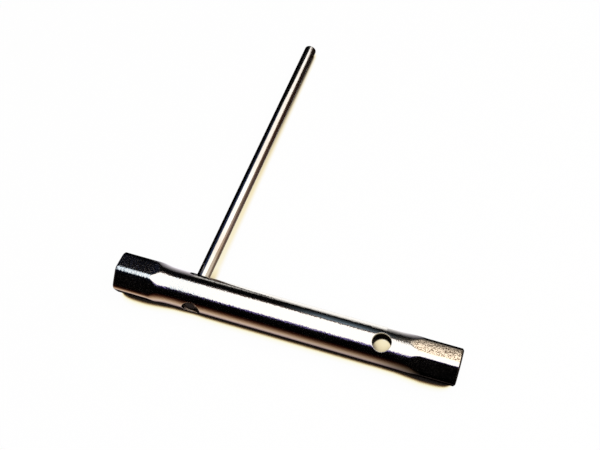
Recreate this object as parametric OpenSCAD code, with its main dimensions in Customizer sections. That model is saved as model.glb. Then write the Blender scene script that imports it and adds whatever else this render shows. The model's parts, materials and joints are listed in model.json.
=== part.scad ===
// Tubular box spanner with a loose tommy bar.
// The larger socket's mouth is centred on the origin, the tube runs along +X and the bar leaves it along +Y.
// The tube leans on an edge of its larger socket, propped by the bar, whose far end lies on the same table.

/* [Sockets] */
// Nut size across flats that the larger socket takes, at the left end
large_nut = 11; // [10.5:0.5:12]
// Nut size across flats that the smaller socket takes, at the right end
small_nut = 10; // [9.5:0.5:11]
// Play of a socket on its nut, across flats
socket_play = 0.1; // [0.05:0.05:0.3]
// How far the corners stop short of a sharp hexagon
corner_relief = 0.25; // [0.15:0.05:0.35]
// Length of the full hexagon at each end
hex_length = 14; // [11:0.5:15]
// Length over which the corners sink into the round tube
neck_length = 10; // [8:0.5:11]
// Length of the flats before they run out
flat_length = 14; // [11:0.5:16]
// Slope of the run-out at the end of a flat, in degrees
runout_angle = 3.6; // [2.5:0.1:6]
// Bevel around the outside of each mouth
end_bevel = 0.6; // [0.3:0.1:0.9]
// Lead-in along the flats inside each mouth
lead_in = 0.4; // [0.2:0.1:0.6]

/* [Tube] */
// Length from mouth to mouth
tube_length = 131; // [115:1:160]
// Outside diameter of the round part
tube_od = 14; // [13.6:0.1:14.2]
// Wall thickness of the tube
wall = 1.75; // [1.6:0.05:1.9]
// Turn of the tube off the flat it would lie on, in degrees
tube_roll = 10; // [9:0.5:12]

/* [Cross holes] */
// Diameter of the cross holes
hole_d = 7; // [6.9:0.1:7.4]
// Distance of the bar's cross hole from the mouth of the larger socket
large_end_hole = 30.8; // [29:0.2:34]
// Distance of the free cross hole from the mouth of the smaller socket
small_end_hole = 28.8; // [28.8:0.2:34]
// Angle of the bar's cross hole around the tube, from a front corner upwards
large_hole_angle = -12.5; // [-13.5:0.5:-9]
// Angle of the free cross hole around the tube, from a front corner upwards
small_hole_angle = 64.5; // [40:0.5:90]

/* [Bar] */
// Diameter of the bar
bar_d = 5; // [4:0.1:5.1]
// Length of the bar
bar_length = 142; // [120:1:180]
// Bevel around each end of the bar
bar_bevel = 0.7; // [0.3:0.1:1]
// How far the near end of the bar lies inside the tube's outer surface
bar_recess = 1.2; // [0.8:0.1:1.6]
// Sideways shift of the bar in its loose hole
bar_shift = -0.6; // [-0.6:0.1:0.2]
// Slant of the bar in its loose hole, towards the smaller socket, in degrees
bar_yaw = 1.2; // [0:0.2:1.6]
// Gap between the resting bar and the rim of its hole
rest_gap = 0.12; // [0.1:0.02:0.2]

/* [Hidden] */
$fn = 96;
sides = 6;
neck_steps = 10;
neck_power = 3;
half_turn = 180 / sides;
past = 1;

tube_r = tube_od / 2;
bore_r = tube_r - wall;
hole_r = hole_d / 2;
bar_r = bar_d / 2;

// Half sizes across the flats and across the corners of the sockets, inside and outside
large_flat = (large_nut + socket_play) / 2;
small_flat = (small_nut + socket_play) / 2;
large_corner = large_flat / cos(half_turn) - corner_relief;
small_corner = small_flat / cos(half_turn) - corner_relief;
large_face = large_flat + wall;
small_face = small_flat + wall;
large_edge = large_face / cos(half_turn) - corner_relief;
small_edge = small_face / cos(half_turn) - corner_relief;

// The table is under the lowest edge of the larger socket
edge_angle = acos(large_face / large_edge);
stand = large_edge * cos(max(0, edge_angle - tube_roll));

// Run-out of the flats, deep enough to leave the round tube at either socket
flat_sink = max(0, bore_r - min(large_flat, small_flat)) + lead_in;
runout_length = flat_sink / tan(runout_angle);

// Where the bar's axis passes the lower rim of its hole at the back of the tube
hole_lean = large_hole_angle + tube_roll;
rim_along = sqrt(tube_r * tube_r - hole_r * hole_r);
seat_side = bar_shift + rim_along * tan(bar_yaw);
seat_drop = sqrt(pow(hole_r - bar_r - rest_gap, 2) - pow(seat_side, 2));
seat_y = rim_along * cos(hole_lean) - seat_drop * sin(hole_lean);
seat_z = -rim_along * sin(hole_lean) - seat_drop * cos(hole_lean);

// The bar rests on that rim and on the table under its far end
bar_start = bar_recess - tube_r;
bar_end = bar_start + bar_length;
bar_dip = asin((stand + seat_z - bar_r) / (bar_end - bar_bevel - seat_y));
bar_z = seat_z + seat_y * tan(bar_dip);

// Outline of a neck, from the hexagon's corner radius to the round tube, as [radius, distance from the mouth]
function neck(corner, round_r) = [
    for (i = [0 : neck_steps])
        let (s = i / neck_steps)
        [round_r + (corner - round_r) * pow(1 - s, neck_power), hex_length + s * neck_length]
];

// The same points counted from the other end of the tube
function other_end(points) = [
    for (i = [len(points) - 1 : -1 : 0])
        [points[i][0], tube_length - points[i][1]]
];

// Solid of revolution around the tube's axis
module turned(outline) {
    rotate([0, 90, 0])
        rotate_extrude()
            polygon(outline);
}

// What is taken off one flat at the left end: a bevel at the mouth, the flat and a shallow run-out
module flat_cut(flat, bevel) {
    reach = 2 * tube_od;
    translate([0, reach / 2, 0])
        rotate([90, 0, 0])
            linear_extrude(height = reach)
                polygon([
                    [-2 * past, flat - bevel - 2 * past * sign(bevel)],
                    [bevel, flat],
                    [flat_length, flat],
                    [flat_length + runout_length, flat + flat_sink],
                    [flat_length + runout_length, reach],
                    [-2 * past, reach]
                ]);
}

module hex_flats(large, small, bevel) {
    for (i = [0 : sides - 1]) {
        rotate([i * 360 / sides, 0, 0])
            flat_cut(large, bevel);
        translate([tube_length, 0, 0])
            mirror([1, 0, 0])
                rotate([i * 360 / sides, 0, 0])
                    flat_cut(small, bevel);
    }
}

module tube_outside() {
    difference() {
        turned(concat(
            [[0, 0], [large_edge - end_bevel, 0], [large_edge, end_bevel]],
            neck(large_edge, tube_r),
            other_end(neck(small_edge, tube_r)),
            [[small_edge, tube_length - end_bevel], [small_edge - end_bevel, tube_length], [0, tube_length]]
        ));
        hex_flats(large_face, small_face, end_bevel);
    }
}

module tube_inside() {
    difference() {
        turned(concat(
            [[0, -past], [large_corner, -past]],
            neck(large_corner, bore_r),
            other_end(neck(small_corner, bore_r)),
            [[small_corner, tube_length + past], [0, tube_length + past]]
        ));
        hex_flats(large_flat, small_flat, 0);
    }
}

// Cone that bevels the flats inside a mouth at the left end, to ease a nut in
module mouth_lead(flat) {
    rotate([0, 90, 0])
        translate([0, 0, -past])
            cylinder(h = lead_in + 2 * past, r1 = flat + lead_in + past, r2 = flat - past);
}

// Round hole through both walls of the tube
module cross_hole(x, angle) {
    translate([x, 0, 0])
        rotate([90 - angle, 0, 0])
            cylinder(h = 2 * tube_od, r = hole_r, center = true);
}

module spanner_tube() {
    color("Silver")
        rotate([-tube_roll, 0, 0])
            difference() {
                tube_outside();
                tube_inside();
                mouth_lead(large_flat);
                translate([tube_length, 0, 0])
                    mirror([1, 0, 0])
                        mouth_lead(small_flat);
                cross_hole(large_end_hole, large_hole_angle);
                cross_hole(tube_length - small_end_hole, small_hole_angle);
            }
}

module tommy_bar() {
    color("LightSlateGray")
        translate([large_end_hole + bar_shift, 0, bar_z])
            rotate([-90 - bar_dip, 0, -bar_yaw])
                rotate_extrude()
                    polygon([
                        [0, bar_start],
                        [bar_r - bar_bevel, bar_start],
                        [bar_r, bar_start + bar_bevel],
                        [bar_r, bar_end - bar_bevel],
                        [bar_r - bar_bevel, bar_end],
                        [0, bar_end]
                    ]);
}

spanner_tube();
tommy_bar();
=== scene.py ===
import json
import math

import bmesh
import bpy
from mathutils import Matrix, Vector


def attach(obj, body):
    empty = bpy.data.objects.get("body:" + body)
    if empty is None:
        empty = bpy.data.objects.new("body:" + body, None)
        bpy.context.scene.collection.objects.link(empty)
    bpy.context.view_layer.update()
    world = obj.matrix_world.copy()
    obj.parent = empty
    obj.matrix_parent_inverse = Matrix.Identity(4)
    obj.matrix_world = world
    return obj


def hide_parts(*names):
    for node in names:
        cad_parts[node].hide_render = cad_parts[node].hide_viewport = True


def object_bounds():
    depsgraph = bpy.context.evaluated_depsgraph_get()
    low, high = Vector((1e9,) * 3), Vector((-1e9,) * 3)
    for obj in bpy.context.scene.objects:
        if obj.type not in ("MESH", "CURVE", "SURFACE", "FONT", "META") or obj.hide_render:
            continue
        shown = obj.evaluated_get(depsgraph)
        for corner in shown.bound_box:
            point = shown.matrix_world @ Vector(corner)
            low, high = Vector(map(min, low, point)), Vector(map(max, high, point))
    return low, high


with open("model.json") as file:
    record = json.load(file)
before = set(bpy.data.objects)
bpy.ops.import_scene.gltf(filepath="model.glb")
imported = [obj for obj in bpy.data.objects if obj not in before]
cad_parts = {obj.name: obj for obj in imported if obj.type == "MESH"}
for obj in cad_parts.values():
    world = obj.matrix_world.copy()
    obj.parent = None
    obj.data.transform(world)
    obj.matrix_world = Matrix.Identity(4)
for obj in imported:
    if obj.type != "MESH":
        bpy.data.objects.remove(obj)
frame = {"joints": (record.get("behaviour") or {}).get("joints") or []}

cadBox = [list(corner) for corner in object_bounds()]
mm = 0.001
scene = bpy.context.scene
scene.view_settings.view_transform = "Standard"


def hexColour(code):
    # sRGB hex to the linear colour that the shaders take
    parts = [int(code[i:i + 2], 16) / 255 for i in (1, 3, 5)]
    return [p / 12.92 if p <= 0.04045 else ((p + 0.055) / 1.055) ** 2.4 for p in parts] + [1.0]


def put(tree, kind, links=(), **settings):
    # adds one node: settings are its properties, links its inputs by name or place,
    # each given as a value, a socket or another node
    node = tree.nodes.new(kind)
    for name, value in settings.items():
        setattr(node, name, value)
    for key, value in (links.items() if isinstance(links, dict) else enumerate(links)):
        if isinstance(value, bpy.types.Node):
            value = value.outputs[0]
        if isinstance(value, bpy.types.NodeSocket):
            tree.links.new(value, node.inputs[key])
        else:
            node.inputs[key].default_value = value
    return node


def blend(tree, share, first, second):
    # colour between two others
    return put(tree, "ShaderNodeMix", {0: share, 6: first, 7: second}, data_type="RGBA").outputs[2]


def newMaterial(name):
    material = bpy.data.materials.new(name)
    material.use_nodes = True
    material.node_tree.nodes.clear()
    return material, material.node_tree


# The camera stands in front, to the right and well above.

cameraSpot = {
    "frame": (600, 450),        # pixels
    "focal": 1000.0,            # pixels
    "elevation": 56.51,         # degrees down
    "swing": 17.33,             # degrees round to the right
    "tilt": 0.4,                # degrees the horizon leans
    "aim": (65.5, 0.0, 0.0),    # mm, the middle of the tube
    "aimAt": (285.27, 318.42),  # where that point falls in the frame, pixels
    "distance": 367.8,          # mm along the view
    "sensor": 36.0,             # mm
    "clip": (0.01, 20.0),       # m
}


def placeCamera():
    s = cameraSpot
    e, swing, tilt = (math.radians(s[k]) for k in ("elevation", "swing", "tilt"))
    level = Vector((math.cos(swing), math.sin(swing), 0))
    ahead = Vector((-math.sin(swing) * math.cos(e), math.cos(swing) * math.cos(e), -math.sin(e)))
    over = level.cross(ahead)
    right = level * math.cos(tilt) + over * math.sin(tilt)
    up = over * math.cos(tilt) - level * math.sin(tilt)
    width, height = s["frame"]
    across = (s["aimAt"][0] - width / 2) / s["focal"] * s["distance"]
    down = (s["aimAt"][1] - height / 2) / s["focal"] * s["distance"]
    spot = Vector(s["aim"]) - ahead * s["distance"] - right * across + up * down
    lens = bpy.data.cameras.new("camera")
    lens.sensor_width = s["sensor"]
    lens.lens = s["focal"] / width * s["sensor"]
    lens.clip_start, lens.clip_end = s["clip"]
    camera = bpy.data.objects.new("camera", lens)
    scene.collection.objects.link(camera)
    turn = Matrix((right, up, -ahead)).transposed().to_4x4()
    camera.matrix_world = Matrix.Translation(spot * mm) @ turn
    scene.camera = camera
    print("camera placed at", [round(v, 1) for v in spot], "mm")


placeCamera()


# Drawn steel tube under thin bright plating: a clear mirror whose fine ripples fray what it shows.
# The pressed flats keep the marks of the dies, so they are speckled and a little satin.
# The bore and the cut ends are dark with scale, because plating hardly reaches them.
plate = {
    "colour": "#B9B5AF",
    "flatColour": "#B9B1A7",
    "pitColour": "#54493F",
    "scale": "#3B342D",
    "roughness": 0.095,
    "flatRoughness": 0.15,
    "scaleRoughness": 0.5,
    "grain": 0.65,          # mm between ripples; the real grain of about 0.2 mm is too fine to show
    "grainHeight": 0.036,
    "pit": 0.5,             # mm between pits on the flats, also coarsened
    "pitHeight": 0.04,
    "pitRange": (0.54, 0.4),    # of the pits' noise, from clean plating to a full pit
    "tarnish": 9.0,         # mm, patches of slightly duller plating
    "tarnishRange": (0.35, 0.7),
    "tarnishRoughness": 0.04,
    "bareRange": (0.3, 0.9),    # of the bare steel's share, from plated to scaly
}


def platedSteel():
    material, tree = newMaterial("brightPlatedDrawnSteel")
    s = plate
    place = put(tree, "ShaderNodeTexCoord").outputs["Object"]
    flats = put(tree, "ShaderNodeAttribute", attribute_name="pressedFlat").outputs["Fac"]
    bare = put(tree, "ShaderNodeAttribute", attribute_name="bareSteel").outputs["Fac"]

    def within(value, limits, low, high):
        start, end = limits
        return put(tree, "ShaderNodeMapRange", {
            "Value": value, "From Min": start, "From Max": end, "To Min": low, "To Max": high})

    scaly = within(bare, s["bareRange"], 0.0, 1.0)
    grain, pits, patches = (
        put(tree, "ShaderNodeTexNoise", {"Vector": place, "Scale": 1 / (s[size] * mm), "Detail": detail})
        for size, detail in (("grain", 1.0), ("pit", 1.5), ("tarnish", 3.0)))

    pitDepth = put(tree, "ShaderNodeMath", [pits, flats], operation="MULTIPLY")
    ripples = put(tree, "ShaderNodeBump", {"Height": grain, "Distance": s["grainHeight"] * mm})
    dents = put(tree, "ShaderNodeBump", {
        "Height": pitDepth, "Distance": s["pitHeight"] * mm, "Normal": ripples})

    satin = within(flats, (0.0, 1.0), s["roughness"], s["flatRoughness"])
    dull = within(patches.outputs[0], s["tarnishRange"], 0.0, s["tarnishRoughness"])
    worn = put(tree, "ShaderNodeMath", [satin, dull], operation="ADD")
    rough = put(tree, "ShaderNodeMix", {0: scaly, 2: worn, 3: s["scaleRoughness"]})

    low = within(pits.outputs[0], s["pitRange"], 0.0, 1.0)
    pitted = put(tree, "ShaderNodeMath", [low, flats], operation="MULTIPLY")
    tint = hexColour(s["colour"])
    for share, colour in ((flats, "flatColour"), (pitted, "pitColour"), (scaly, "scale")):
        tint = blend(tree, share, tint, hexColour(s[colour]))
    surface = put(tree, "ShaderNodeBsdfPrincipled", {
        "Base Color": tint, "Metallic": 1.0, "Roughness": rough, "Normal": dents})
    put(tree, "ShaderNodeOutputMaterial", {"Surface": surface})
    return material


# Bright drawn bar steel: an even shine with faint lengthwise lines from the die and a slightly brown tone
# where it is handled. The sawn ends are dull and near black, which paints the shade of the end inside the
# hole.
barFinish = {
    "colour": "#B9B5AF",
    "handled": "#A89C8F",
    # near black: dull sawn steel, darkened further as painted shade for the end inside the tube's hole
    "cut": "#100E0C",
    "roughness": (0.12, 0.2),   # from clean to handled
    "cutRoughness": 0.45,
    "line": 0.35,           # mm between drawing lines, coarsened
    "lineHeight": 0.004,
    "stretch": 40.0,        # a line is this many times longer than wide
    "grain": 0.9,           # mm between ripples, coarsened
    "grainHeight": 0.012,
    "wear": 14.0,           # mm between handled patches
    "wearRange": (0.4, 0.75),   # of the patches' noise, from clean to brown
}


def drawnSteel():
    material, tree = newMaterial("brightDrawnBarSteel")
    s = barFinish
    place = put(tree, "ShaderNodeTexCoord").outputs["Object"]
    cut = put(tree, "ShaderNodeAttribute", attribute_name="cutEnd").outputs["Fac"]
    drawn = put(tree, "ShaderNodeMapping", {"Vector": place, "Scale": (1.0, 1 / s["stretch"], 1.0)})
    lines, grain, wear = (
        put(tree, "ShaderNodeTexNoise", {"Vector": where, "Scale": 1 / (s[size] * mm), "Detail": detail})
        for where, size, detail in ((drawn, "line", 2.0), (place, "grain", 2.0), (place, "wear", 4.0)))
    scored = put(tree, "ShaderNodeBump", {"Height": lines, "Distance": s["lineHeight"] * mm})
    rippled = put(tree, "ShaderNodeBump", {
        "Height": grain, "Distance": s["grainHeight"] * mm, "Normal": scored})

    clean, brownest = s["wearRange"]
    brown = put(tree, "ShaderNodeMapRange", {"Value": wear, "From Min": clean, "From Max": brownest})
    tint = hexColour(s["colour"])
    for share, colour in ((brown, "handled"), (cut, "cut")):
        tint = blend(tree, share, tint, hexColour(s[colour]))
    smoothest, dullest = s["roughness"]
    worn = put(tree, "ShaderNodeMapRange", {"Value": wear, "To Min": smoothest, "To Max": dullest})
    rough = put(tree, "ShaderNodeMix", {0: cut, 2: worn, 3: s["cutRoughness"]})
    surface = put(tree, "ShaderNodeBsdfPrincipled", {
        "Base Color": tint, "Metallic": 1.0, "Roughness": rough, "Normal": rippled})
    put(tree, "ShaderNodeOutputMaterial", {"Surface": surface})
    return material


plating = platedSteel()
barSteel = drawnSteel()
print("materials made")


# The spanner tube: a plate with its holes punched, rolled into a tube and pressed into a hexagon
# at each end. Lengths are in mm.

tube = {
    "length": 131.0,
    "radius": 7.0,          # outside of the round part
    "wall": 1.75,
    "largeFlat": 5.55,      # half across the flats inside the larger socket
    "smallFlat": 5.05,
    "cornerRelief": 0.25,
    "cornerOutside": 2.2,   # rounding of the hexagons' corners
    "cornerInside": 1.6,
    "hexLength": 14.0,
    "neckLength": 10.0,
    "neckPower": 3.0,
    "flatLength": 14.0,
    "largeCrown": 0.07,     # how far a flat swells between its edges
    "smallCrown": 0.13,
    "runout": 3.6,          # degrees
    "endBevel": 0.6,
    "leadIn": 0.4,
    "lip": 0.15,            # rounding of the end's edges
    "softEdge": 0.15,       # rounding between the flats and the necks
    "roll": 10.0,           # degrees the tube is turned off its flat
    "holeRadius": 3.5,
    "holes": ((30.8, -12.5), (102.2, 64.5)),    # distance from the larger mouth, angle around the tube
    "rimOutside": 0.12,     # rounding of the holes' edges
    "rimInside": 0.08,
    "seam": -64.0,          # degrees, clear of the holes
    "fineTurn": 8,          # degrees to each side of a corner that have a point every degree
    "wideStep": 2.2,        # degrees between points on the flats
    "wideSteps": 20,
    "neckRows": (8.5, 29),  # first close row of a neck and how many there are
    "rowStep": 0.5,         # between close rows
    "rowGap": 0.02,         # rows closer than this are one
    "middleSteps": 28,      # between the two holes
    "patch": 5.5,           # half length of the plate that is laid out around a hole
    "patchTurn": 50,        # degrees, half its width
    # shares of the way to the hole, outside, and back from it, inside
    "patchSteps": ((0.3, 0.52, 0.7, 0.83, 0.93), (0.85, 0.6, 0.3)),
    "bevelBlend": 0.12,     # softening between the bevel and the side
    "runoutBlend": 1.5,     # softening where a flat starts to run out
    "leadBlend": 0.08,      # softening between the lead-in and the flats
    "cutRange": (-0.04, 0.06),  # into the bevel, from plated to bare
    "markDepth": 0.12,      # of metal pressed in, from no die marks to full ones
    "markEdge": (-0.02, 0.04),  # radians in from a flat's edge, likewise
    "weld": 0.002,
    "sharp": 32.0,          # degrees between faces that keep a crease
}


def plateColumns():
    # angles around the tube: close together at the six corners, wider on the flats
    s = tube
    fine, start, slack = s["fineTurn"], s["seam"], 1e-6
    angles = []
    for corner in range(-120, 361, 60):
        angles += [corner + k for k in range(-fine, fine)]
        angles += [corner + fine + s["wideStep"] * k for k in range(s["wideSteps"])]
    return [a for a in angles if start - slack <= a < start + 360 - slack] + [start + 360]


def plateRows():
    # distances along the tube: close together at the mouths, the necks and the holes
    s = tube
    step, patch, steps = s["rowStep"], s["patch"], s["middleSteps"]
    first, count = s["neckRows"]
    end = [0, 0.03, 0.07, 0.12, 0.18, 0.26, 0.36, 0.45, 0.52, 0.57, 0.62, 0.67, 0.73, 0.8, 0.95, 1.3]
    end += [2, 3, 4.5, 6, 7.5]
    end += [first + step * k for k in range(count)]
    rows = end + [s["length"] - d for d in end]
    for x, angle in s["holes"]:
        rows += [x - patch + step * k for k in range(round(2 * patch / step) + 1)]
    low, high = (x for x, angle in s["holes"])
    gap = high - low - 2 * patch
    rows += [low + patch + gap * k / steps for k in range(1, steps)]
    rows.sort()
    kept = [rows[0]]
    for x in rows[1:]:
        if x - kept[-1] > s["rowGap"]:
            kept.append(x)
    kept[-1] = s["length"]
    return kept


def holeRings():
    # rings of one hole mouth from the outer skin inwards, each as its distance from the hole's axis
    # and its depth in the wall, 0 to 1
    s = tube
    r, wall = s["holeRadius"], s["wall"]
    out, inn = s["rimOutside"], s["rimInside"]
    rings = []
    for k in range(6):
        a = math.radians(18 * k)
        rings.append((r + out * (1 - math.sin(a)), out * (1 - math.cos(a)) / wall))
    for k in (0.3, 0.6, 0.85):
        rings.append((r, k))
    for k in range(4):
        a = math.radians(90 - 30 * k)
        rings.append((r + inn * (1 - math.sin(a)), 1 - inn * (1 - math.cos(a)) / wall))
    return rings


def nearest(places, wanted):
    return min(range(len(places)), key=lambda i: abs(places[i] - wanted))


def punchedPlate():
    s = tube
    rows, cols = plateRows(), plateColumns()
    points, faces = [], []

    def point(x, angle, depth):
        points.append((x * mm, math.radians(angle) * s["radius"] * mm, -depth * s["wall"] * mm))
        return len(points) - 1

    mouths = []
    for x, angle in s["holes"]:
        for turn in (angle, angle + 180):
            ends = [nearest(rows, x + side * s["patch"]) for side in (-1, 1)]
            sides = [nearest(cols, turn + side * s["patchTurn"]) for side in (-1, 1)]
            mouths.append((x, turn, *ends, *sides))
    skins = []
    for depth in (0, 1):
        skin = {}
        for i, x in enumerate(rows):
            for j, angle in enumerate(cols):
                if not any(i0 < i < i1 and j0 < j < j1 for _, _, i0, i1, j0, j1 in mouths):
                    skin[i, j] = point(x, angle, depth)
        skins.append(skin)
        for i in range(len(rows) - 1):
            for j in range(len(cols) - 1):
                if not any(i0 <= i < i1 and j0 <= j < j1 for _, _, i0, i1, j0, j1 in mouths):
                    face = (skin[i, j], skin[i + 1, j], skin[i + 1, j + 1], skin[i, j + 1])
                    faces.append(face if depth == 0 else face[::-1])
    outer, inner = skins
    last = len(rows) - 1
    for j in range(len(cols) - 1):
        faces.append((outer[0, j], outer[0, j + 1], inner[0, j + 1], inner[0, j]))
        faces.append((outer[last, j + 1], outer[last, j], inner[last, j], inner[last, j + 1]))

    for x, turn, i0, i1, j0, j1 in mouths:
        loop = [(i, j0) for i in range(i0, i1)] + [(i1, j) for j in range(j0, j1)]
        loop += [(i, j1) for i in range(i1, i0, -1)] + [(i0, j) for j in range(j1, j0, -1)]
        rings = holeRings()
        bearings = [
            math.atan2(math.radians(cols[j] - turn) * s["radius"], rows[i] - x)
            for i, j in loop]

        def spot(k, ring):
            q, depth = ring
            rho = s["radius"] - s["wall"] * depth
            swing = math.degrees(math.asin(q * math.sin(bearings[k]) / rho))
            return x + q * math.cos(bearings[k]), turn + swing, depth

        def between(ring, share, depth):
            ids = []
            for k, (i, j) in enumerate(loop):
                a, b, _ = spot(k, ring)
                ids.append(point(
                    rows[i] + (a - rows[i]) * share, cols[j] + (b - cols[j]) * share, depth))
            return ids

        inwards, outwards = s["patchSteps"]
        chain = [[outer[p] for p in loop]]
        chain += [between(rings[0], share, 0) for share in inwards]
        chain += [[point(*spot(k, ring)) for k in range(len(loop))] for ring in rings]
        chain += [between(rings[-1], share, 1) for share in outwards]
        chain.append([inner[p] for p in loop])
        for first, second in zip(chain, chain[1:]):
            for k in range(len(loop)):
                n = (k + 1) % len(loop)
                faces.append((first[k], first[n], second[n], second[k]))
    mesh = bpy.data.meshes.new("punchedPlate")
    mesh.from_pydata(points, [], faces)
    mesh.update()
    print("plate punched:", len(points), "points,", len(faces), "faces")
    return mesh


def pressTree():
    # rolls the plate round the X axis and presses both ends into a hexagon
    tree = bpy.data.node_groups.new("rollAndPress", "GeometryNodeTree")
    face = tree.interface
    face.new_socket("Plate", in_out="INPUT", socket_type="NodeSocketGeometry")
    sizes = {
        "Length": "length", "Radius": "radius", "Wall": "wall",
        "Large flat": "largeFlat", "Small flat": "smallFlat", "Corner relief": "cornerRelief",
        "Corner outside": "cornerOutside", "Corner inside": "cornerInside",
        "Hexagon": "hexLength", "Neck": "neckLength", "Flat": "flatLength",
        "Large crown": "largeCrown", "Small crown": "smallCrown",
        "Bevel": "endBevel", "Lead-in": "leadIn", "Lip": "lip", "Soft edge": "softEdge",
    }
    numbers = {label: tube[key] * mm for label, key in sizes.items()}
    numbers["Run-out"] = math.tan(math.radians(tube["runout"]))
    numbers["Roll"] = math.radians(tube["roll"])
    numbers["Power"] = tube["neckPower"]
    values = {}
    for label, value in numbers.items():
        entry = face.new_socket(label, in_out="INPUT", socket_type="NodeSocketFloat")
        values[entry.identifier] = value
    entry = face.new_socket("Plating", in_out="INPUT", socket_type="NodeSocketMaterial")
    values[entry.identifier] = plating
    face.new_socket("Tube", in_out="OUTPUT", socket_type="NodeSocketGeometry")
    given = put(tree, "NodeGroupInput").outputs
    calc = "ShaderNodeMath"
    sixth = math.radians(30)

    place = put(tree, "ShaderNodeSeparateXYZ", [put(tree, "GeometryNodeInputPosition")]).outputs
    x = place[0]
    turn = put(tree, calc, [place[1], given["Radius"]], operation="DIVIDE")
    skin = put(tree, calc, [place[2], given["Wall"]], operation="ADD")      # wall left under this point
    other = put(tree, calc, [given["Length"], x], operation="SUBTRACT")
    fromEnd = put(tree, calc, [x, other], operation="MINIMUM")
    rightHalf = put(tree, calc, [x, other], operation="GREATER_THAN")
    inward = put(tree, calc, [place[2], given["Wall"]], operation="DIVIDE")
    depth = put(tree, calc, [inward, -1.0], operation="MULTIPLY", use_clamp=True)
    outer = put(tree, calc, [1.0, depth], operation="SUBTRACT")

    # half sizes of the socket at this end, on this skin
    socket = put(tree, "ShaderNodeMix", {0: rightHalf, 2: given["Large flat"], 3: given["Small flat"]})
    flatIn = put(tree, calc, [socket, skin], operation="ADD")
    sharp = put(tree, calc, [flatIn, math.cos(sixth)], operation="DIVIDE")
    corner = put(tree, calc, [sharp, given["Corner relief"]], operation="SUBTRACT")
    boreIn = put(tree, calc, [given["Radius"], given["Wall"]], operation="SUBTRACT")
    bore = put(tree, calc, [boreIn, skin], operation="ADD")

    # bevel outside each mouth, with a small rounded lip
    reach = put(tree, calc, [fromEnd, given["Lip"]], operation="DIVIDE", use_clamp=True)
    short = put(tree, calc, [1.0, reach], operation="SUBTRACT")
    squared = put(tree, calc, [short, 2.0], operation="POWER")
    curl = put(tree, calc, [squared, given["Lip"]], operation="MULTIPLY")
    rise = put(tree, calc, [fromEnd, curl], operation="SUBTRACT")
    slope = put(tree, calc, [given["Bevel"], rise], operation="SUBTRACT")
    bevel = put(tree, calc, [slope, 0.0, tube["bevelBlend"] * mm], operation="SMOOTH_MAX")
    drop = put(tree, calc, [bevel, outer], operation="MULTIPLY")
    plated, uncovered = (v * mm for v in tube["cutRange"])
    cut = put(tree, "ShaderNodeMapRange", {"Value": slope, "From Min": plated, "From Max": uncovered})
    bare = put(tree, calc, [depth, cut], operation="MAXIMUM")

    # neck: the corner radius sinks to the round tube
    past = put(tree, calc, [fromEnd, given["Hexagon"]], operation="SUBTRACT")
    share = put(tree, calc, [past, given["Neck"]], operation="DIVIDE", use_clamp=True)
    left = put(tree, calc, [1.0, share], operation="SUBTRACT")
    fall = put(tree, calc, [left, given["Power"]], operation="POWER")
    proud = put(tree, calc, [corner, bore], operation="SUBTRACT")
    whole = put(tree, calc, [proud, fall, bore], operation="MULTIPLY_ADD")
    neck = put(tree, calc, [whole, drop], operation="SUBTRACT")

    # flats: six slightly crowned planes that run out at a shallow slope
    offFlat = put(tree, calc, [turn, sixth], operation="SUBTRACT")
    fold = put(tree, calc, [offFlat, sixth, -sixth], operation="WRAP")
    beyond = put(tree, calc, [fromEnd, given["Flat"]], operation="SUBTRACT")
    beyondOnly = put(tree, calc, [beyond, 0.0, tube["runoutBlend"] * mm], operation="SMOOTH_MAX")
    level = put(tree, calc, [beyondOnly, given["Run-out"], flatIn], operation="MULTIPLY_ADD")
    offMiddle = put(tree, calc, [fold, sixth], operation="DIVIDE")
    bulge = put(tree, calc, [offMiddle, 2.0], operation="POWER")
    swell = put(tree, calc, [bulge, outer], operation="MULTIPLY")
    crown = put(tree, "ShaderNodeMix", {0: rightHalf, 2: given["Large crown"], 3: given["Small crown"]})
    lower = put(tree, calc, [swell, crown, drop], operation="MULTIPLY_ADD")
    flatHere = put(tree, calc, [level, lower], operation="SUBTRACT")
    slant = put(tree, calc, [fold], operation="COSINE")
    flatAcross = put(tree, calc, [flatHere, slant], operation="DIVIDE")

    # rounded corner between two flats: an arc around a hub that lies on the corner's own radius
    arc = put(tree, "ShaderNodeMix", {0: outer, 2: given["Corner inside"], 3: given["Corner outside"]})
    core = put(tree, calc, [flatHere, arc], operation="SUBTRACT")
    hub = put(tree, calc, [core, math.cos(sixth)], operation="DIVIDE")
    offFold = put(tree, calc, [fold], operation="ABSOLUTE")
    offCorner = put(tree, calc, [sixth, offFold], operation="SUBTRACT")
    pastHub = put(tree, calc, [offCorner], operation="SINE")
    side = put(tree, calc, [hub, pastHub], operation="MULTIPLY")
    sideSquared = put(tree, calc, [side, side], operation="MULTIPLY")
    arcSquared = put(tree, calc, [arc, arc], operation="MULTIPLY")
    spanSquared = put(tree, calc, [arcSquared, sideSquared], operation="SUBTRACT")
    span = put(tree, calc, [spanSquared], operation="SQRT")
    toHub = put(tree, calc, [offCorner], operation="COSINE")
    cornerAcross = put(tree, calc, [hub, toHub, span], operation="MULTIPLY_ADD")
    tangent = put(tree, calc, [core, math.tan(sixth)], operation="MULTIPLY")
    edgeTurn = put(tree, calc, [tangent, flatHere], operation="ARCTAN2")
    onCorner = put(tree, calc, [offFold, edgeTurn], operation="GREATER_THAN")
    hexAcross = put(tree, "ShaderNodeMix", {0: onCorner, 2: flatAcross, 3: cornerAcross})
    pressed = put(tree, calc, [neck, hexAcross, given["Soft edge"]], operation="SMOOTH_MIN")

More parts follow.
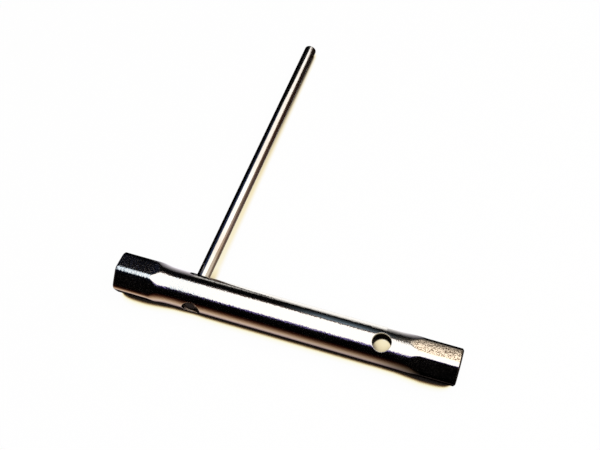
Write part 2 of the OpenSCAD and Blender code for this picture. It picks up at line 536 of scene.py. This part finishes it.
    # where the dies left their marks
    over = put(tree, calc, [neck, flatAcross], operation="SUBTRACT")
    touched = put(tree, "ShaderNodeMapRange", {
        "Value": over, "From Min": 0.0, "From Max": tube["markDepth"] * mm})
    fromEdge = put(tree, calc, [edgeTurn, offFold], operation="SUBTRACT")
    edge, inside = tube["markEdge"]
    flatOnly = put(tree, "ShaderNodeMapRange", {"Value": fromEdge, "From Min": edge, "From Max": inside})
    mask = put(tree, calc, [touched, flatOnly], operation="MULTIPLY")

    # lead-in along the flats inside each mouth
    leadFoot = put(tree, calc, [socket, given["Lead-in"]], operation="ADD")
    lead = put(tree, calc, [leadFoot, rise], operation="SUBTRACT")
    radius = put(tree, calc, [pressed, lead, tube["leadBlend"] * mm], operation="SMOOTH_MAX")

    angle = put(tree, calc, [turn, given["Roll"]], operation="ADD")
    cosine = put(tree, calc, [angle], operation="COSINE")
    toFront = put(tree, calc, [cosine, radius], operation="MULTIPLY")
    toBack = put(tree, calc, [toFront, -1.0], operation="MULTIPLY")
    sine = put(tree, calc, [angle], operation="SINE")
    up = put(tree, calc, [sine, radius], operation="MULTIPLY")
    spot = put(tree, "ShaderNodeCombineXYZ", [x, toBack, up])
    shape = given["Plate"]
    for name, value in (("pressedFlat", mask), ("bareSteel", bare)):
        shape = put(tree, "GeometryNodeStoreNamedAttribute", {
            "Geometry": shape, "Name": name, "Value": value}, data_type="FLOAT", domain="POINT")
    rolled = put(tree, "GeometryNodeSetPosition", {"Geometry": shape, "Position": spot})
    closed = put(tree, "GeometryNodeMergeByDistance", {
        "Geometry": rolled, "Distance": tube["weld"] * mm})
    smooth = put(tree, "GeometryNodeSetShadeSmooth", {"Geometry": closed})
    real = put(tree, "GeometryNodeRealizeInstances", {"Geometry": smooth})
    dressed = put(tree, "GeometryNodeSetMaterial", {"Geometry": real, "Material": given["Plating"]})
    put(tree, "NodeGroupOutput", [dressed])
    return tree, values


def plainPiece(name, source):
    # turns an object with live modifiers into a plain mesh piece
    bpy.context.view_layer.update()
    depsgraph = bpy.context.evaluated_depsgraph_get()
    mesh = bpy.data.meshes.new_from_object(source.evaluated_get(depsgraph))
    mesh.name = name
    bpy.data.objects.remove(source)
    piece = bpy.data.objects.new(name, mesh)
    scene.collection.objects.link(piece)
    return piece


def makeTube():
    blank = bpy.data.objects.new("tubeBlank", punchedPlate())
    scene.collection.objects.link(blank)
    tree, values = pressTree()
    press = blank.modifiers.new("press", "NODES")
    press.node_group = tree
    for key, value in values.items():
        press[key] = value
    piece = plainPiece("pressedTube", blank)
    piece.data.set_sharp_from_angle(angle=math.radians(tube["sharp"]))
    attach(piece, "tube")
    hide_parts("spanner_tube")
    print("tube rolled and pressed:", len(piece.data.polygons), "faces")


makeTube()


# The tommy bar: a turned rod with rounded bevels at both ends. Lengths are in mm.

bar = {
    "radius": 2.5,
    "length": 142.0,
    "bevel": 0.7,
    "round": 0.25,          # rounding of the bevel's edges
    "nearEnd": -5.8,        # from the tube's axis, along the bar
    "crossing": (30.2, 0.0, -0.248),    # where the bar's axis passes the tube's axis
    "sides": 72,
    "rows": (4.0, 6.0, 23), # first row of points on the side, distance to the next and how many
    "roundSteps": 4,        # points to a rounded edge, less one
    "faceRing": 0.6,        # share of the end's flat radius that has a ring of points
    "cutDepth": 0.1,        # from an end, what is sawn
    "weld": 0.001,
}


def barOutline():
    # (radius, distance from the end) of one end, from the middle outwards
    b, r, c, steps = (bar[key] for key in ("radius", "round", "bevel", "roundSteps"))
    sweep = r * math.tan(math.radians(22.5))
    outline = [(0.0, 0.0), ((b - c) * bar["faceRing"], 0.0)]
    for k in range(steps + 1):      # face into bevel
        a = math.radians(45 * k / steps)
        outline.append((b - c - sweep + r * math.sin(a), r * (1 - math.cos(a))))
    for k in range(steps + 1):      # bevel into side
        a = math.radians(45 + 45 * k / steps)
        outline.append((b - r + r * math.sin(a), c + sweep - r * math.cos(a)))
    return outline


def makeBar():
    s = bar
    end = barOutline()
    first, step, count = s["rows"]
    middle = [(s["radius"], first + step * k) for k in range(count)]
    outline = end + middle + [(q, s["length"] - d) for q, d in reversed(end)]
    shape = bmesh.new()
    chain = [shape.verts.new((q * mm, 0, d * mm)) for q, d in outline]
    edges = [shape.edges.new(pair) for pair in zip(chain, chain[1:])]
    bmesh.ops.spin(shape, geom=chain + edges, cent=(0, 0, 0), axis=(0, 0, 1), angle=math.tau,
                   steps=s["sides"], use_merge=True)
    bmesh.ops.remove_doubles(shape, verts=shape.verts, dist=s["weld"] * mm)
    bmesh.ops.recalc_face_normals(shape, faces=shape.faces)
    cutEnd = shape.verts.layers.float.new("cutEnd")
    for v in shape.verts:
        v[cutEnd] = float(min(v.co.z, s["length"] * mm - v.co.z) < s["cutDepth"] * mm)
    for f in shape.faces:
        f.smooth = True
    forward = -Vector(frame["joints"][0]["axis"]).normalized()
    turn = forward.to_track_quat("Z", "Y").to_matrix().to_4x4()
    start = Vector(s["crossing"]) * mm + forward * s["nearEnd"] * mm
    shape.transform(Matrix.Translation(start) @ turn)
    mesh = bpy.data.meshes.new("tommyBar")
    shape.to_mesh(mesh)
    shape.free()
    mesh.materials.append(barSteel)
    piece = bpy.data.objects.new("turnedBar", mesh)
    scene.collection.objects.link(piece)
    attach(piece, "bar")
    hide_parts("tommy_bar")
    print("bar turned:", len(mesh.polygons), "faces")
    return piece


barPiece = makeBar()


# The studio: white paper with a painted contact shadow on a table, a large soft panel overhead, a darkened
# room and a few glowing cards that paint what the metal mirrors. Lengths are in mm.

studio = {
    "tableSpan": (-2900, 3000),
    "tableGap": 0.02,               # under the tool's lowest point
    "paper": "#2E2D2C",             # body of the paper, which shows the soft shadows
    "paperGlow": 0.97,              # even white of the lit paper, 1 is white
    "closeness": 12.0,              # within this something darkens the paper under it with painted shadow
    "closenessSamples": 128,
    "nearTube": (65.5, 92.0, 22.0), # middle, half length and half width of the paper that can darken
    "nearBar": (31.0, 16.0),        # and of the strip along the bar's path, in x
    # painted shadow tones of the paper under the tube, from closed in to open
    "fade": ((0.0, "#000000"), (0.335, "#080301"), (0.358, "#5A3C1E"), (0.375, "#B3996B"),
             (0.395, "#F3E6B9"), (0.42, "#FEFBE0"), (0.46, "#FEFDF4"), (0.55, "#FFFFFF")),
    # off the tube's middle, from where to where those painted shadow tones shift darker under a socket, and
    # by how much under the left and the right one
    "underSockets": (43.0, 53.0, 0.035, 0.05),
    # the paper that takes the bar's painted shadow tones instead: its middle at the tube, slant, half
    # width, soft edge and start
    "barStrip": (30.2, 0.021, 3.7, 1.6, 9.0),
    # the paper under the tube seen through the free hole, painted with the bar's shadow tones too: middle
    # and half width in x, then in y
    "underHole": (102.2, 4.5, 3.2, 3.2),
    # painted shadow tones of the paper along the bar, from closed in to open
    "paintedBarShadow": ((0.0, "#000000"), (0.35, "#291F18"), (0.44, "#867862"), (0.52, "#DED0AC"),
                (0.58, "#F5E7C0"), (0.65, "#FAF1D2"), (0.7, "#FDF7E6"), (0.76, "#FEFCF6"),
                (0.82, "#FFFFFF")),
    "room": "#040405",
    "horizon": "#F4F2F0",
    "horizonRange": (0.06, 0.2),    # upwards, from the horizon to the room
    "leftGlow": "#4A62A8",          # dim bluish window light from the left
    "leftRange": ((-0.3, -0.75), (0.3, 0.75)),  # where it comes up, sideways and upwards
    "rightGlow": "#B9A48F",         # dim brown wall on the right
    "rightRange": ((0.3, 0.7), (0.7, 0.55)),
    "panelHeight": 800.0,           # above the tube's axis
    "panelX": (-225.0, 1130.0),
    "panelY": (-670.0, 520.0),
    "panelGlow": 2.3,
    "frontRim": ((-870.0, -670.0), 0.8, "#9C88E4"),     # the panel's tinted edges: where, glow and colour
    "backRim": ((520.0, 690.0), 0.27, "#E8C8C0"),
    "leftRim": ((-300.0, -225.0), 2.2, "#DCEEFF"),
    "rimLift": 5.0,                 # lamps at one height would hide each other
    "barPanelY": (520.0, 1150.0),   # a second panel and left edge behind, which light only the bar
}

# Glowing cards that paint reflections and show nowhere else, each from its front: four corners with their
# height above the table, the tones along one axis, how bright they glow and where they dim along another
# axis.
cards = {
    # painted reflection for the tube's lower band: warm paper low down, going dark higher up
    "frontCard": {
        "corners": ((290, -11, 0), (-160, -11, 0), (-160, -11, 16), (290, -11, 16)), "axis": 2, "glow": 1.3,
        "tones": ((0, "#F5DCD2"), (1.6, "#FFEADD"), (4.2, "#FADCC4"), (6.0, "#DAB89A"), (7.4, "#A88468"),
                  (8.6, "#6E4A36"), (9.6, "#381A10"), (10.5, "#1C0604"), (11.5, "#000000")),
        "fade": (0, ((6, 1.0), (24, 0.86), (52, 0.84), (82, 0.68), (100, 0.54), (118, 0.0))),
    },
    # painted reflection of the paper just in front of the tube, going black towards the contact
    "footCard": {
        "corners": ((-160, -11, 0.01), (290, -11, 0.01), (290, 1, 0.01), (-160, 1, 0.01)), "axis": 1,
        "tones": ((-11, "#F5D8CC"), (-9.6, "#D5C0C2"), (-8.6, "#8A7478"), (-7.6, "#2A1E24"),
                  (-6.8, "#000000")),
        "fade": (0, ((20, 1.0), (82, 0.85), (100, 0.7), (118, 0.1))),
    },
    # painted reflection for the tube's upper band: grey blue that glows brighter upwards
    "backCard": {
        "corners": ((58, 30, 18), (106, 30, 18), (106, 30, 50), (58, 30, 50)), "axis": 0, "glow": 2.0,
        "tones": ((58, "#14110F"), (66, "#3C464E"), (75, "#647583"), (90, "#647583"), (99, "#4A555C"),
                  (106, "#2A3032")),
        "fade": (2, ((24, 0.0), (29, 0.2), (33, 0.33), (36, 0.4), (39, 0.68), (42, 0.88), (47, 1.0))),
    },
    # painted highlight on the smaller hexagon's upper flat, brighter upwards
    "socketCard": {
        "corners": ((106, 30, 18), (155, 30, 18), (155, 30, 90), (106, 30, 90)), "axis": 0, "glow": 2.9,
        "tones": ((106, "#2A3032"), (110, "#6A625A"), (114, "#FFF4E4")),
        "fade": (2, ((24, 0.0), (29, 0.14), (33, 0.2), (36, 0.23), (38, 0.5), (41, 0.88), (46, 1.0))),
    },
    # painted reflection of bright paper behind the tube, for its pale top edge
    "backSheet": {
        "corners": ((36, 20, 0.01), (104, 20, 0.01), (104, 260, 0.01), (42, 260, 0.01)),
        "axis": 0, "glow": 1.8,
        "tones": ((36, "#FFFFFF"), (104, "#FFFFFF")),
    },
    # painted reflection behind the larger hexagon and its neck: dark behind the hexagon, pale behind the
    # neck, dimming upwards
    "leftLowCard": {
        "corners": ((-40, 14, 0), (26, 14, 0), (26, 14, 17), (-40, 14, 17)), "axis": 0, "glow": 1.5,
        "tones": ((5, "#020203"), (9, "#3A3A3C"), (13, "#C4C0CC"), (17, "#F0ECF8"), (26, "#FBF4FF")),
        "fade": (2, ((0, 1.0), (5, 0.95), (9, 0.7), (13, 0.36), (16, 0.12), (17, 0.06))),
    },
    # painted reflection behind the smaller hexagon and its neck: pale behind the neck, dark behind the
    # hexagon, dimming upwards
    "rightLowCard": {
        "corners": ((102, 14, 0), (150, 14, 0), (150, 14, 17), (102, 14, 17)), "axis": 0, "glow": 1.8,
        "tones": ((102, "#FFFFFF"), (108, "#F0EEF4"), (112, "#B8B4BC"), (117, "#101012"), (121, "#020203")),
        "fade": (2, ((0, 1.0), (5, 0.95), (9, 0.7), (13, 0.32), (16, 0.1), (17, 0.05))),
    },
    # dark sheet beside the bar's left, painting its dark left band in place of the paper's reflection
    "barLeftCard": {
        "corners": ((25.8, 8, 0), (27.9, 110, 0), (27.9, 110, 10), (25.8, 8, 12)), "axis": 1,
        "tones": ((8, "#010102"), (110, "#010102")),
    },
    # dark sheet beside the left of the bar's far end, painting the dark left band there too
    "barTipCard": {
        "corners": ((29, 96, 0), (30.4, 160, 0), (30.4, 160, 36), (29, 96, 8.5)), "axis": 1,
        "tones": ((96, "#010102"), (160, "#010102")),
    },
    # painted reflection for the bar's right side: light brown near the tube, darker brown towards the tip
    "barRightCard": {
        "corners": ((37.9, 150, 0), (35, 8, 0), (35, 8, 8.6), (37.9, 150, 7.2)), "axis": 1,
        "tones": ((8, "#D8BEA6"), (17, "#D0B49E"), (33, "#BC9C8F"), (84, "#6F493C"), (127, "#321E14")),
        "fade": (2, ((0, 0.35), (5, 0.38), (7, 0.45), (8.2, 0.8), (9, 1.0))),
    },
    # painted highlight on the bar's right side near the tube, a cream wedge that narrows away from it
    "barNearCard": {
        "corners": ((35.7, 42, 8.5), (35, 8, 8.6), (35, 8, 14.5), (35.7, 42, 8.8)), "axis": 1, "glow": 1.2,
        "tones": ((8, "#FFF4E2"), (24, "#F0DCC8"), (42, "#BC9C8F")),
    },
    # painted reflection of the paper under the bar: black under it, brown to its right, fading towards the
    # tip
    "barFootCard": {
        "corners": ((26, 18, 0.01), (33.6, 18, 0.01), (37.9, 150, 0.01), (28.7, 150, 0.01)), "axis": 0,
        "tones": ((31.5, "#000000"), (33, "#8A6F65")),
        "fade": (1, ((18, 0.95), (33, 0.75), (84, 0.25), (127, 0.05))),
    },
}


tableTop = cadBox[0][2] / mm - studio["tableGap"]


def setStops(ramp, stops):
    while len(ramp.color_ramp.elements) < len(stops):
        ramp.color_ramp.elements.new(1.0)
    for stop, (where, colour) in zip(ramp.color_ramp.elements, stops):
        stop.position = where
        stop.color = hexColour(colour) if isinstance(colour, str) else (colour, colour, colour, 1.0)


def whitePaper():
    # smooth white paper: even and bright, with a painted warm brown line of shadow where something stands
    # close over it, its tone picked from how close the object is rather than cast by a lamp
    material, tree = newMaterial("whitePaper")
    s = studio
    calc = "ShaderNodeMath"

    def distance(value, middle):
        apart = put(tree, calc, [value, middle], operation="SUBTRACT")
        return put(tree, calc, [apart], operation="ABSOLUTE")

    path = put(tree, "ShaderNodeLightPath").outputs
    seen = put(tree, calc, [path["Is Camera Ray"], path["Is Glossy Ray"]], operation="MAXIMUM")
    seen = put(tree, calc, [seen, path["Is Transmission Ray"]], operation="MAXIMUM")
    strength = put(tree, calc, [seen, s["paperGlow"]], operation="MULTIPLY")
    clear = put(tree, "ShaderNodeAmbientOcclusion", {"Distance": s["closeness"] * mm},
                samples=s["closenessSamples"]).outputs["AO"]
    even = put(tree, "ShaderNodeEmission", {"Color": hexColour("#FFFFFF"), "Strength": strength})

    place = put(tree, "ShaderNodeSeparateXYZ", [put(tree, "ShaderNodeTexCoord").outputs["Object"]]).outputs
    middle, reach, width = (v * mm for v in s["nearTube"])

    # painted shadow, pushed darker under the hexagons, which come closer to the paper than the tube does
    start, end, left, right = s["underSockets"]
    aside = distance(place[0], middle)
    under = put(tree, "ShaderNodeMapRange", {
        "Value": aside, "From Min": start * mm, "From Max": end * mm})
    more = put(tree, "ShaderNodeMapRange", {
        "Value": place[0], "From Min": 0.0, "From Max": 2 * middle, "To Min": left, "To Max": right})
    shift = put(tree, calc, [under, more], operation="MULTIPLY")
    less = put(tree, calc, [clear, shift], operation="SUBTRACT")
    # painted shadow: the paper's glow takes a tone from black through brown to white by how close the
    # object stands over it
    fade = put(tree, "ShaderNodeValToRGB", [less])
    setStops(fade, s["fade"])
    paintedBarShadow = put(tree, "ShaderNodeValToRGB", [clear])
    setStops(paintedBarShadow, s["paintedBarShadow"])
    crossing, slant, barHalf, barEdge, barStart = s["barStrip"]
    barMiddle = put(tree, calc, [place[1], slant, crossing * mm], operation="MULTIPLY_ADD")
    off = distance(place[0], barMiddle)
    byside = put(tree, "ShaderNodeMapRange", {
        "Value": off, "From Min": barHalf * mm, "From Max": (barHalf - barEdge) * mm})
    beyond = put(tree, calc, [place[1], barStart * mm], operation="GREATER_THAN")
    alongBar = put(tree, calc, [byside, beyond], operation="MULTIPLY")
    spotX, halfX, spotY, halfY = (v * mm for v in s["underHole"])
    inX = put(tree, calc, [place[0], spotX, halfX], operation="COMPARE")
    inY = put(tree, calc, [place[1], spotY, halfY], operation="COMPARE")
    inSpot = put(tree, calc, [inX, inY], operation="MULTIPLY")
    gentle = put(tree, calc, [alongBar, inSpot], operation="MAXIMUM")
    tone = blend(tree, gentle, fade, paintedBarShadow)
    shaded = put(tree, "ShaderNodeEmission", {"Color": tone, "Strength": strength})

    # closeness is slow to work out, so only the paper around the tool has it
    along = put(tree, calc, [place[0], middle, reach], operation="COMPARE")
    across = put(tree, calc, [place[1], 0.0, width], operation="COMPARE")
    byTube = put(tree, calc, [along, across], operation="MULTIPLY")
    byBar = put(tree, calc, [place[0]] + [v * mm for v in s["nearBar"]], operation="COMPARE")
    near = put(tree, calc, [byTube, byBar], operation="MAXIMUM")
    glow = put(tree, "ShaderNodeMixShader", [near, even, shaded])
    body = put(tree, "ShaderNodeBsdfDiffuse", {"Color": hexColour(s["paper"])})
    put(tree, "ShaderNodeOutputMaterial", {"Surface": put(tree, "ShaderNodeAddShader", [glow, body])})
    return material


def paintedReflectionCard(name, card):
    # card whose tones glow by themselves, without a lamp, to paint a reflection; clear from behind
    material, tree = newMaterial(name)
    place = put(tree, "ShaderNodeSeparateXYZ", [put(tree, "ShaderNodeTexCoord").outputs["Object"]]).outputs

    def along(axis, stops):
        low, high = stops[0][0], stops[-1][0]
        ground = tableTop if axis == 2 else 0
        share = put(tree, "ShaderNodeMapRange", {
            "Value": place[axis], "From Min": (ground + low) * mm, "From Max": (ground + high) * mm})
        ramp = put(tree, "ShaderNodeValToRGB", [share])
        setStops(ramp, [((where - low) / (high - low), tone) for where, tone in stops])
        return ramp

    strength = card.get("glow", 1.0)
    if "fade" in card:
        strength = put(tree, "ShaderNodeMath", [along(*card["fade"]), strength], operation="MULTIPLY")
    tone = along(card["axis"], card["tones"])
    glow = put(tree, "ShaderNodeEmission", {"Color": tone, "Strength": strength})
    behind = put(tree, "ShaderNodeNewGeometry").outputs["Backfacing"]
    sided = put(tree, "ShaderNodeMixShader", [behind, glow, put(tree, "ShaderNodeBsdfTransparent")])
    put(tree, "ShaderNodeOutputMaterial", {"Surface": sided})
    return material


def stageSheet(name, corners, material):
    mesh = bpy.data.meshes.new(name)
    mesh.from_pydata([[v * mm for v in corner] for corner in corners], [], [(0, 1, 2, 3)])
    mesh.materials.append(material)
    sheet = bpy.data.objects.new(name, mesh)
    scene.collection.objects.link(sheet)
    return sheet


def standCard(name, card):
    corners = [(x, y, tableTop + height) for x, y, height in card["corners"]]
    sheet = stageSheet(name, corners, paintedReflectionCard(name, card))
    for sight in ("camera", "shadow", "diffuse", "transmission"):
        setattr(sheet, "visible_" + sight, False)


def hangPanel(name, spanX, spanY, glow, colour="#FFFFFF", lift=0.0):
    s = studio
    lamp = bpy.data.lights.new(name, "AREA")
    lamp.shape = "RECTANGLE"
    lamp.size, lamp.size_y = (spanX[1] - spanX[0]) * mm, (spanY[1] - spanY[0]) * mm
    lamp.energy = glow * math.pi * lamp.size * lamp.size_y
    lamp.color = hexColour(colour)[:3]
    panel = bpy.data.objects.new(name, lamp)
    panel.location = (sum(spanX) / 2 * mm, sum(spanY) / 2 * mm, (s["panelHeight"] + lift) * mm)
    scene.collection.objects.link(panel)
    return panel


def darkRoom():
    s = studio
    world = bpy.data.worlds.new("room")
    scene.world = world
    world.use_nodes = True
    tree = world.node_tree
    tree.nodes.clear()
    way = put(tree, "ShaderNodeSeparateXYZ", [put(tree, "ShaderNodeTexCoord").outputs["Generated"]]).outputs

    def within(axis, low, high):
        return put(tree, "ShaderNodeMapRange", {"Value": way[axis], "From Min": low, "From Max": high})

    shade = hexColour(s["room"])
    for side in ("left", "right"):
        sideways, upwards = s[side + "Range"]
        ways = [within(0, *sideways), within(2, *upwards)]
        share = put(tree, "ShaderNodeMath", ways, operation="MULTIPLY")
        shade = blend(tree, share, shade, hexColour(s[side + "Glow"]))
    above = within(2, *s["horizonRange"])
    shade = blend(tree, above, hexColour(s["horizon"]), shade)
    put(tree, "ShaderNodeOutputWorld", {"Surface": put(tree, "ShaderNodeBackground", {"Color": shade})})


def makeStudio():
    s = studio
    near, far = s["tableSpan"]
    corners = ((near, near), (far, near), (far, far), (near, far))
    stageSheet("table", [(x, y, tableTop) for x, y in corners], whitePaper())
    for name, card in cards.items():
        standCard(name, card)
    darkRoom()
    leftX, leftGlow, leftColour = s["leftRim"]
    hangPanel("panel", s["panelX"], s["panelY"], s["panelGlow"])
    hangPanel("leftRim", leftX, s["panelY"], leftGlow, leftColour)
    for name in ("frontRim", "backRim"):
        hangPanel(name, s["panelX"], *s[name], lift=s["rimLift"])
    only = bpy.data.collections.new("litByBarPanel")
    only.objects.link(barPiece)
    for behind in (hangPanel("barPanel", s["panelX"], s["barPanelY"], s["panelGlow"]),
                   hangPanel("barLeftRim", leftX, s["barPanelY"], leftGlow, leftColour)):
        behind.light_linking.receiver_collection = only
    print("studio lit")


makeStudio()
